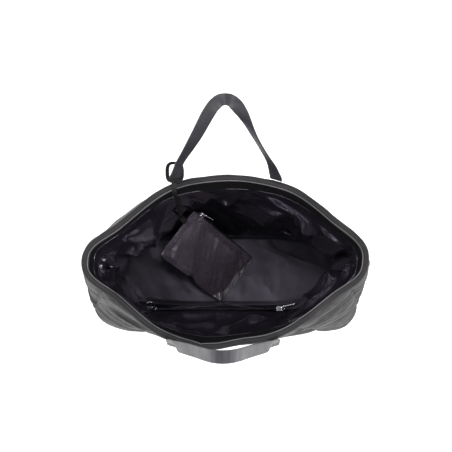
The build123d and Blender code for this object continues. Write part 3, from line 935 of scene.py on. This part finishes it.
def fold_pouch(pouch):
    """Gathers below the zip, soft folds across the pouch, and a notched, curled lower edge."""
    turn = np.array(POUCH_MATRIX.to_3x3())
    points = coordinates(pouch) / MM
    local = (points - np.array(POUCH_MATRIX.translation)) @ turn
    x, y, z = local.T
    edge = np.clip(np.minimum(76.0 - np.abs(x), 46.0 - np.abs(y + 1.5)) / 9.0, 0.0, 1.0)
    below_zip = 45.0 - y
    gather = np.sin(x / 4.3 * 2 * pi + 2.5 * line_noise(x, 15.0, 2))
    gather *= np.exp(-below_zip / 15.0) * smooth_step((x + 22.0) / 30.0) * smooth_step(below_zip / 4.0)
    across = 0.793 * x + 0.489 * y
    along = 0.793 * y - 0.489 * x
    stretched = np.stack([across, along / 5.0, 0 * x], -1)
    folds = 1.0 - 2.0 * np.abs(noise(stretched, 21.0, 4))
    folds += 0.3 * (1.0 - 2.0 * np.abs(noise(stretched, 9.0, 6)))
    lift = edge * (2.5 * folds + 3.0 * np.exp(-((across + 58.0) / 16.0) ** 2)) + 1.1 * gather
    front = POUCH_GRID[0] * POUCH_GRID[1]
    side = np.where(np.arange(len(z)) < front, 1.0, 0.5)
    notch = np.exp(-((x - 6.0) / 9.0) ** 2) * np.clip(1.0 - (y + 48.0) / 16.0, 0.0, 1.0)
    curl = np.exp(-((x + 18.0) / 18.0) ** 2) * np.clip(1.0 - (y + 48.0) / 14.0, 0.0, 1.0)
    z = z + side * lift
    upper = z[:front].reshape(POUCH_GRID)
    for axis in (0, 1) * 4:
        upper = np.minimum(upper, np.minimum(np.roll(upper, 1, axis), np.roll(upper, -1, axis)))
    z[front:] = np.minimum(z[front:], upper[1:-1, 1:-1].ravel() - 1.2 * edge[front:])
    local = np.stack([x, y + 6.0 * notch + 1.5 * curl, z + 4.0 * curl - 2.0 * notch], -1)
    pouch.data.vertices.foreach_set("co", (pouch_place(local) * MM).ravel())
    pouch.data.update()


def make_lining_floor():
    """Satin floor of the lining, lying slightly wavy on the base board."""
    t, _ = even_shares(300)
    edge = lining_surface(t, [FLOOR_Z])[0, :, :2]
    shares = np.linspace(1.015, 0.01, 100)
    xy = edge[None] * shares[:, None, None]
    flat = np.concatenate([xy, np.zeros(xy.shape[:2])[..., None]], -1)
    x, y = flat[..., 0], flat[..., 1]
    slanted = np.stack([x + 0.6 * y, y * 0.35 - 0.2 * x, flat[..., 2]], -1)
    swell = 2.4 * layered_noise(slanted, 58.0, 31.0, 2) + 0.5 * layered_noise(flat, 20.0, 33.0, 2)
    crease = 2.6 * np.exp(-np.abs(y - (34.0 - 0.42 * (x - 80.0))) / 5.0)
    crease *= smooth_step((x - 60.0) / 30.0)
    tame = smooth_step((1.0 - shares) / 0.12)[:, None]
    top = flat.copy()
    top[..., 2] = FLOOR_Z + tame * (1.0 + np.abs(swell) * 0.9 + crease) - 0.3
    low = flat.copy()[::-1][::8]
    low[..., 2] = 8.9
    grid = np.concatenate([top, low])
    uv = pairs(np.arange(301) * 3.0, np.arange(len(grid) + 1) * 1.5)
    cloth = grid_object("lining_floor", grid, MATERIALS["floor_lining"], wrap=(True, True), uv=uv)
    stand_for(cloth, "bag", "satin_lining", "base_lining")


# ---------------------------------------------------------------- handles

def loop_line(count):
    """Points (x, z) along the handle's loop in its own plane, with the direction it runs in."""
    half = np.array(LOOP_LINE, float)
    points = np.concatenate([half * (-1.0, 1.0), half[-2::-1]])
    knots = np.concatenate([[0.0], np.cumsum(np.hypot(*np.diff(points, axis=0).T))])
    line = hermite(np.linspace(0.5, knots[-1] - 0.5, count), knots, points)
    return line, unit(np.gradient(line, axis=0))


def loop_sections(name, handle):
    """Centres and across and outward directions of the webbing from one sewn end to the other."""
    lean = radians(-handle["lean"])
    origin = np.array([handle["x"], handle["y"], HINGE_Z])
    turn = np.array(Matrix.Rotation(lean, 3, "X"))
    centres, across, normals = [], [], []
    for (x, z), (run_x, run_z) in zip(*loop_line(241)):
        run = np.array([run_x, 0.0, run_z])
        profile = np.array(TWISTS[name, -1 if x < 0 else 1], float)
        twist = radians(hermite(np.array([z]), profile[:, 0], profile[:, 1:])[0, 0])
        side = np.array(Matrix.Rotation(twist, 3, Vector(run))) @ np.array([0.0, 1.0, 0.0])
        tuck = -handle["side"] * BASE_TUCK * (1.0 - smooth_step(z / 45.0))
        centres.append(origin + turn @ np.array([x, tuck, z]))
        across.append(turn @ side)
        normals.append(turn @ np.cross(run, side))
    return np.array(centres), np.array(across), np.array(normals)


def sewn_run(handle, hand, count):
    """The end of the webbing, flat on the wall from its lower edge up to just under the hinge."""
    side = handle["side"]
    x = handle["x"] + hand * HANDLE_SPAN / 2
    yaw = radians(-side * hand * SEWN_YAW)
    slope = radians(side * SEWN_SLOPE)
    turn = np.array(Matrix.Rotation(slope, 3, "X") @ Matrix.Rotation(yaw, 3, "Z"))
    top = np.array([x, handle["y"] - side * BASE_TUCK, HINGE_Z])
    drops = np.linspace(SEWN_BOTTOM, 7.0, count)
    centres = top + (turn @ np.array([0.0, 0.0, -1.0]))[None] * drops[:, None]
    across = np.repeat((turn @ np.array([1.0, 0.0, 0.0]))[None], count, 0)
    normals = np.repeat((turn @ np.array([0.0, side, 0.0]))[None], count, 0)
    return centres, across, normals


def webbing_section(width, thick):
    """Rounded section of a flat strap, as (across, through) pairs."""
    edge = [(sin(a) * 0.5 * thick, cos(a) * 0.5 * thick) for a in np.linspace(0, pi, 7)]
    half = width / 2 - thick / 2
    places = np.linspace(-half, half, 13)
    top = [(p, thick / 2) for p in places[:-1]]
    right = [(half + a, b) for a, b in edge]
    low = [(p, -thick / 2) for p in places[::-1][1:-1]]
    left = [(-half - a, -b) for a, b in edge]
    return np.array(top + right + low + left[:-1])


def ribbon(name, centres, across, normals, width, thick, material_made, closed=False, edge_rib=0.0):
    """A woven strap swept along a run of centres."""
    section = webbing_section(width, thick)
    lift = section[:, 1].copy()
    if edge_rib:
        lift += np.sign(lift) * edge_rib * np.exp(-((np.abs(section[:, 0]) - width * 0.42) / 1.0) ** 2)
    grid = centres[None] + across[None] * section[:, 0][:, None, None] + normals[None] * lift[:, None, None]
    runs = np.concatenate([[0.0], np.cumsum(np.linalg.norm(np.diff(centres, axis=0), axis=1))])
    if closed:
        runs = np.append(runs, runs[-1] + 1.0)
    around = np.append(section[:, 0], section[0, 0])
    uv = pairs(runs, around)
    return grid_object(name, grid, material_made, wrap=(True, closed), uv=uv, caps=not closed)


def blend_rows(first, second, count):
    """Turn smoothly from one section to another, for the stretch that bends at the hinge."""
    c0, a0, n0 = first
    c1, a1, n1 = second
    if np.dot(a0, a1) < 0:
        a0 = -a0
    if np.dot(n0, n1) < 0:
        n0 = -n0
    share = smooth_step(np.linspace(0, 1, count + 2)[1:-1])[:, None]
    plain = np.linspace(0, 1, count + 2)[1:-1][:, None]
    centres = c0 + (c1 - c0) * plain
    across = unit(a0 + (a1 - a0) * share)
    normals = unit(np.cross(np.cross(across, n0 + (n1 - n0) * share), across))
    return centres, across, normals


def facing_as(sections, row, across, normal):
    """Sections with their directions turned over where they disagree with the ones given, at one row."""
    centres, sides, outs = sections
    sides = -sides if np.dot(sides[row], across) < 0 else sides
    outs = -outs if np.dot(outs[row], normal) < 0 else outs
    return centres, sides, outs


def make_handle(name, handle):
    centres, across, normals = loop_sections(name, handle)
    start = facing_as(sewn_run(handle, -1, 34), -1, across[0], normals[0])
    end = facing_as([part[::-1] for part in sewn_run(handle, 1, 34)], 0, across[-1], normals[-1])
    loop = (centres, across, normals)
    join_a = blend_rows([part[-1] for part in start], [part[3] for part in loop], 12)
    join_b = blend_rows([part[-4] for part in loop], [part[0] for part in end], 12)
    rows = [np.concatenate([start[k], join_a[k], loop[k][3:-3], join_b[k], end[k]]) for k in range(3)]
    strap = ribbon(f"{name}_handle_webbing", *rows, *WEBBING, MATERIALS["webbing"], edge_rib=0.18)
    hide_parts(f"{name}_handle", f"{name}_strap_ends")
    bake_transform(strap)
    make_box_stitches(name, handle)


def thread_run(points, normal, radius=0.3, lift=0.2):
    """Stitches along a line on a strap: grids of small rounded threads."""
    points = np.asarray(points, float)
    length = np.linalg.norm(np.diff(points, axis=0), axis=1).sum()
    count = max(2, int(round(length / STITCH_PITCH)))
    grids = []
    start, end = points[0], points[-1]
    run = unit((end - start)[None])[0]
    side = np.cross(normal, run)
    for k in range(count):
        a = start + run * (k + 0.12) * length / count
        b = start + run * (k + 0.88) * length / count
        stations = np.linspace(0, 1, 6)
        bow = np.sin(stations * pi)
        centre = a + (b - a) * stations[:, None] + normal * (lift * bow - 0.15)[:, None]
        size = radius * (0.35 + 0.65 * np.sqrt(bow))
        turns = np.arange(6) / 6 * 2 * pi
        grid = (centre[None] + (side * np.cos(turns)[:, None])[:, None] * size[None, :, None]
                + (normal * np.sin(turns)[:, None])[:, None] * size[None, :, None])
        grids.append(grid)
    return grids


def grids_object(name, grids, made):
    """Many small closed tubes as one mesh."""
    points, faces = [], []
    start = 0
    for grid in grids:
        rows, columns = grid.shape[:2]
        points.append(grid.reshape(-1, 3))
        for i in range(rows):
            for j in range(columns - 1):
                k = (i + 1) % rows
                faces.append((start + i * columns + j, start + i * columns + j + 1,
                              start + k * columns + j + 1, start + k * columns + j))
        faces.append([start + i * columns for i in range(rows)])
        faces.append([start + i * columns + columns - 1 for i in range(rows)][::-1])
        start += rows * columns
    return make_object(name, np.concatenate(points), faces, made)


def make_box_stitches(name, handle):
    """A stitched box with a cross on each sewn end."""
    grids = []
    for hand in (-1, 1):
        c, a, n = sewn_run(handle, hand, 2)
        low, high = c[0], c[1]
        run = unit((high - low)[None])[0]
        across, normal = a[0], n[0]
        corners = {}
        for sx in (-1, 1):
            for key, along in (("low", 3.5), ("mid", 27.0)):
                corners[sx, key] = low + run * along + across * sx * 6.4 + normal * (WEBBING[1] / 2 + 0.1)
        lines = [((-1, "low"), (1, "low")), ((-1, "mid"), (1, "mid")), ((-1, "low"), (-1, "mid")),
                 ((1, "low"), (1, "mid")), ((-1, "low"), (1, "mid")), ((1, "low"), (-1, "mid"))]
        for first, second in lines:
            grids += thread_run((corners[first], corners[second]), normal)
    stitches = grids_object(f"{name}_box_stitches", grids, MATERIALS["thread"])
    stand_for(stitches, "bag", "stitching", f"{name}_bar_tacks")


# ---------------------------------------------------------------- tether

TETHER_ROUTE = (
    (-74.0, 110.2, 339.2),
    (-73.8, 103.4, 340.6),
    (-73.4, 96.0, 333.0),
    (-72.6, 92.5, 313.0),
    (-71.5, 91.5, 278.0),
    (-70.6, 89.0, 238.0),
    (-70.2, 85.0, 198.0),
    (-70.6, 81.5, 162.0),
    (-72.2, 79.2, 134.0),
    (-73.4, 80.2, 120.0),
)
TETHER_WIDTH = 7.0
TETHER_THICK = 1.5


def route_line(route):
    """Points along the smooth line of a cord's route, in mm."""
    curve = bpy.data.curves.new("route", "CURVE")
    curve.dimensions = "3D"
    spline = curve.splines.new("NURBS")
    spline.points.add(len(route) - 1)
    for point, place in zip(spline.points, route):
        point.co = (*[v * MM for v in place], 1.0)
    spline.order_u = 3
    spline.use_endpoint_u = True
    spline.resolution_u = 12
    carrier = bpy.data.objects.new("route", curve)
    SCENE.collection.objects.link(carrier)
    bpy.context.view_layer.update()
    mesh = bpy.data.meshes.new_from_object(carrier.evaluated_get(bpy.context.evaluated_depsgraph_get()))
    line = np.array([tuple(v.co) for v in mesh.vertices]) / MM
    bpy.data.objects.remove(carrier)
    return line


def make_tether():
    """Flat strap from the loop on the rear handle, over the hem and down to the pouch's tab."""
    line = route_line(TETHER_ROUTE)
    run = unit(np.gradient(line, axis=0))
    across = np.array([1.0, 0.0, 0.0]) - run * run[:, 0:1]
    turn = 0.5 * noise(line * (0, 0, 1), 60.0, 3)
    across = unit(across)
    normal = np.cross(run, across)
    across, normal = (across * np.cos(turn)[:, None] + normal * np.sin(turn)[:, None],
                      normal * np.cos(turn)[:, None] - across * np.sin(turn)[:, None])
    strap = ribbon("tether_strap", line, across, normal, TETHER_WIDTH, TETHER_THICK, MATERIALS["strap"])
    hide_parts("tether")
    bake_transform(strap)
    make_tether_loop()


def make_tether_loop():
    """The strap's end, looped round the webbing and standing up a little."""
    x, y = HANDLES["rear"]["x"] - HANDLE_SPAN / 2 + 1.5, HANDLES["rear"]["y"] + 6.0
    turn = np.array(Matrix.Rotation(radians(24.0), 3, "X"))
    angles = np.arange(72) / 72 * 2 * pi
    power = 0.62
    px = 10.6 * np.sign(np.cos(angles)) * np.abs(np.cos(angles)) ** power
    py = 13.2 * np.sign(np.sin(angles)) * np.abs(np.sin(angles)) ** power
    flat = np.stack([px, py, 1.2 * np.sin(angles * 2 + 0.6)], -1)
    centres = flat @ turn.T + np.array([x, y, HINGE_Z + 8.5])
    along = unit(np.roll(centres, -1, 0) - np.roll(centres, 1, 0))
    up = np.repeat((turn @ np.array([0.0, 0.0, 1.0]))[None], len(centres), 0)
    out = unit(np.cross(along, up))
    tip = radians(50.0)
    across = unit(up * cos(tip) + out * sin(tip))
    out = unit(np.cross(along, across))
    loop = ribbon("tether_end_loop", centres, across, out, 6.4, 1.4, MATERIALS["strap"], closed=True)
    stand_for(loop, "rear_handle", "tether_strap", "tether_loop")


# ---------------------------------------------------------------- zips, rings, tabs

def zip_frame(kind):
    """Matrix of a zip: chain along X, outer face +Z."""
    if kind == "pocket":
        return Matrix.Translation((-9.0, -67.2, ZIP_Z)) @ Matrix.Rotation(radians(-90), 4, "X")
    return POUCH_MATRIX @ Matrix.Translation((0, 45.0, 0)) @ Matrix.Rotation(radians(-90), 4, "X")


def make_coil(name, kind, length, body):
    """Two rows of nylon coil, interlocked."""
    grids = []
    pitch = 1.5
    for row in (-1, 1):
        turns = int(length / pitch)
        angle = np.linspace(0, turns * 2 * pi, turns * 12)
        x = -length / 2 + angle / (2 * pi) * pitch + (pitch / 2 if row > 0 else 0.0)
        y = row * 1.15 + 1.15 * np.cos(angle) * -row
        z = 0.75 * np.sin(angle)
        centre = put(np.stack([x, y, z], -1), zip_frame(kind))
        run = unit(np.gradient(centre, axis=0))
        side = unit(np.cross(run, np.array(zip_frame(kind).to_3x3()) @ np.array([1.0, 0.0, 0.0])))
        other = np.cross(run, side)
        around = np.arange(6) / 6 * 2 * pi
        grids.append(centre[None] + 0.34 * (side[None] * np.cos(around)[:, None, None]
                                            + other[None] * np.sin(around)[:, None, None]))
    coil = grids_object(f"{name}_coil", grids, MATERIALS["coil"])
    stand_for(coil, body, "zip_coil", f"{name}_chain")


def make_tape(name, kind, length, width, body):
    """Woven tapes each side of the coil, slightly puckered by their stitching."""
    strips = []
    for row in (-1, 1):
        x = np.linspace(-length / 2 - 6, length / 2 + 6, int(length * 1.5))
        y = row * np.linspace(2.5, width / 2, 12)
        gx, gy = np.meshgrid(x, y)
        outward = np.clip((np.abs(gy) - 4.0) / 5.0, 0, 1)
        lift = 0.28 * np.sin(gx / 5.5 * 2 * pi) * outward
        lift += 0.4 * noise(np.stack([gx, gy, 0 * gx], -1), 22.0, 2)
        lift -= 0.35 * np.exp(-((np.abs(gy) - 6.0) / 0.45) ** 2)
        face = np.stack([gx, gy, 0.35 + lift], -1)
        back = face[::-1].copy()
        back[..., 2] -= 0.7
        grid = put(np.concatenate([face, back]), zip_frame(kind))
        uv = pairs(x, np.arange(25) * 0.9)
        strips.append(grid_object(f"{name}_tape_{'low' if row < 0 else 'high'}", grid, MATERIALS["tape"],
                                  wrap=(True, False), uv=uv, caps=True, flip=row < 0))
    tape = join(strips, f"{name}_tapes")
    stand_for(tape, body, "zip_tape", f"{name}_tape")


def refine_metal(names, made, width):
    """Round the edges of small metal parts and give them their finish."""
    for name in names:
        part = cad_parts[name]
        weld = part.modifiers.new("weld", "WELD")
        weld.merge_threshold = 0.00001
        plane = part.modifiers.new("plane", "DECIMATE")
        plane.decimate_type = "DISSOLVE"
        plane.angle_limit = radians(1.0)
        edge = part.modifiers.new("edge", "BEVEL")
        edge.width = width * MM
        edge.segments = 3
        edge.limit_method = "ANGLE"
        edge.angle_limit = radians(35.0)
        edge.harden_normals = False
        finish_node(name, made)


def finish_node(name, made):
    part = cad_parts[name]
    part.data.materials.clear()
    part.data.materials.append(made)


def make_split_ring():
    """Flattened wire wound twice round."""
    low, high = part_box("key_ring")
    centre = np.array((low + high) / 2) / MM
    tilt = np.array(Matrix.Rotation(radians(90 + 36.0), 3, "X"))
    angle = np.linspace(0, 2 * pi * 1.96, 190)
    side_step = np.linspace(-0.55, 0.55, len(angle)) + 0.25 * np.tanh((angle - 2 * pi) * 3.0)
    flat = np.stack([7.5 * np.cos(angle), 7.5 * np.sin(angle), side_step * 0.9], -1)
    line = flat @ tilt.T + centre
    run = unit(np.gradient(line, axis=0))
    up = np.repeat((tilt @ np.array([0.0, 0.0, 1.0]))[None], len(line), 0)
    out = unit(np.cross(run, up))
    around = np.arange(8) / 8 * 2 * pi
    grid = line[None] + out[None] * (0.7 * np.cos(around))[:, None, None]
    grid = grid + up[None] * (0.5 * np.sin(around))[:, None, None]
    ring = grids_object("split_key_ring", [grid], MATERIALS["steel"])
    stand_for(ring, "key_ring", "dark_ring_metal", "key_ring")


def make_folded_tab(name, node_name, start, loop_centre, radius, across, width, thick, made, body, slot):
    """A short strap folded round a ring or strap and sewn back on itself."""
    start = np.asarray(start, float)
    loop_centre = np.asarray(loop_centre, float)
    run = loop_centre - start
    size = np.linalg.norm(run)
    run = run / size
    across = np.asarray(across, float)
    normal = np.cross(across, run)
    line = []
    for share in np.linspace(0.0, 1.0, 12):
        line.append(start + run * size * share + normal * (0.7 + (radius - 0.7) * share ** 2))
    for a in np.linspace(pi / 2, -pi / 2, 16)[1:-1]:
        line.append(loop_centre + normal * radius * sin(a) + run * radius * cos(a))
    for share in np.linspace(1.0, 0.0, 12):
        line.append(start + run * size * share - normal * (0.7 + (radius - 0.7) * share ** 2))
    line = np.array(line)
    direction = unit(np.gradient(line, axis=0))
    sides = np.repeat(across[None], len(line), 0)
    outs = unit(np.cross(sides, direction))
    tab = ribbon(name, line, sides, outs, width, thick, made)
    stand_for(tab, body, slot, node_name)


def make_zips():
    make_tape("pocket_zip", "pocket", 190.0, 24.0, "bag")
    make_coil("pocket_zip", "pocket", 190.0, "bag")
    make_tape("pouch_zip", "pouch", 130.0, 7.6, "pouch")
    make_coil("pouch_zip", "pouch", 130.0, "pouch")
    refine_metal(("pocket_slider", "pocket_pull", "pouch_slider", "pouch_pull"), MATERIALS["chrome"], 0.3)
    refine_metal(("pocket_zip_stops", "pouch_zip_stops"), MATERIALS["chrome"], 0.25)
    make_split_ring()
    low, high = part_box("key_ring_tab")
    middle = np.array((low + high) / 2) / MM
    top = float(high[2]) / MM
    make_folded_tab("ring_tab", "key_ring_tab", (*middle[:2], top), (*middle[:2], top - 15.0),
                    2.1, (1, 0, 0), 6.4, 0.9, MATERIALS["webbing"], "bag", "handle_webbing")
    start = pouch_place([[-POUCH_SIZE[0] / 2 + 2.0, POUCH_SIZE[1] / 2 - 27.0, 0]])[0]
    end = pouch_place([[-POUCH_SIZE[0] / 2 - 8.6, POUCH_SIZE[1] / 2 - 27.0, 0]])[0]
    across = np.array(POUCH_MATRIX.to_3x3()) @ np.array([0.0, 1.0, 0.0])
    make_folded_tab("pouch_side_tab", "pouch_tab", start, end, 1.6, across, 9.0, 1.0,
                    MATERIALS["strap"], "pouch", "tether_strap")
    finish_node("pocket_bag", MATERIALS["lining"])
    finish_node("base_board", MATERIALS["board"])


# ---------------------------------------------------------------- stage

def make_stage():
    mesh = bpy.data.meshes.new("studio_floor")
    size = 6.0
    corners = [(-size, -size, 0), (size, -size, 0), (size, size, 0), (-size, size, 0)]
    mesh.from_pydata(corners, [], [(0, 1, 2, 3)])
    floor = bpy.data.objects.new("studio_floor", mesh)
    floor.location.z = -0.0006
    SCENE.collection.objects.link(floor)
    made, tree, shader = material("pale_floor", (0.86, 0.86, 0.86), 0.9, Specular_IOR_Level=0.0)
    shader.inputs["Emission Color"].default_value = (1.0, 1.0, 1.0, 1.0)
    shader.inputs["Emission Strength"].default_value = 0.62
    tint = ramp(tree, noise_node(tree, object_socket(tree), 2.0), ((0.3, grey(0.84)), (0.7, grey(0.88))))
    tree.links.new(tint, shader.inputs["Base Color"])
    mesh.materials.append(made)

    world = bpy.data.worlds.new("studio")
    SCENE.world = world
    world.use_nodes = True
    background = world.node_tree.nodes["Background"]
    background.inputs["Color"].default_value = (1.0, 1.0, 1.0, 1.0)
    background.inputs["Strength"].default_value = 0.26
    for name, place, target, size, power in (
        ("rear_softbox", (-0.75, 0.95, 2.0), (0, 0, 0.2), (0.8, 0.6), 22.0),
        ("top_softbox", (0.5, 0.35, 2.35), (0, 0, 0.2), (0.7, 0.6), 9.0),
        ("front_softbox", (0.25, -1.25, 2.0), (0, 0, 0.2), (1.2, 0.8), 21.0),
        ("left_strip", (-1.5, -0.1, 1.4), (0, 0, 0.3), (0.4, 1.3), 12.0),
        ("right_strip", (1.5, -0.2, 1.4), (0, 0, 0.3), (0.4, 1.3), 22.0),
    ):
        data = bpy.data.lights.new(name, "AREA")
        data.shape = "RECTANGLE"
        data.size, data.size_y = size
        data.energy = power
        lamp = bpy.data.objects.new(name, data)
        lamp.location = place
        lamp.rotation_euler = (Vector(target) - Vector(place)).to_track_quat("-Z", "Y").to_euler()
        SCENE.collection.objects.link(lamp)
    SCENE.view_settings.view_transform = "Standard"


# ---------------------------------------------------------------- everything

def main():
    make_camera()
    MATERIALS.update(make_materials())
    make_tether()
    lining, inward = lining_start()
    pouch = pouch_start()
    keepers = make_colliders()
    settle(lining, inward, pouch, keepers)
    stand_for(lining, "bag", "satin_lining", "rear_lining", "front_lining")
    stand_for(pouch, "pouch", "pouch_cloth", "pouch_front_wall", "pouch_back_wall")
    make_lining_floor()
    outer, z = make_shell()
    make_side_seams(outer, z)
    make_base()
    make_hem()
    for name, handle in HANDLES.items():
        make_handle(name, handle)
    make_zips()
    make_stage()


main()
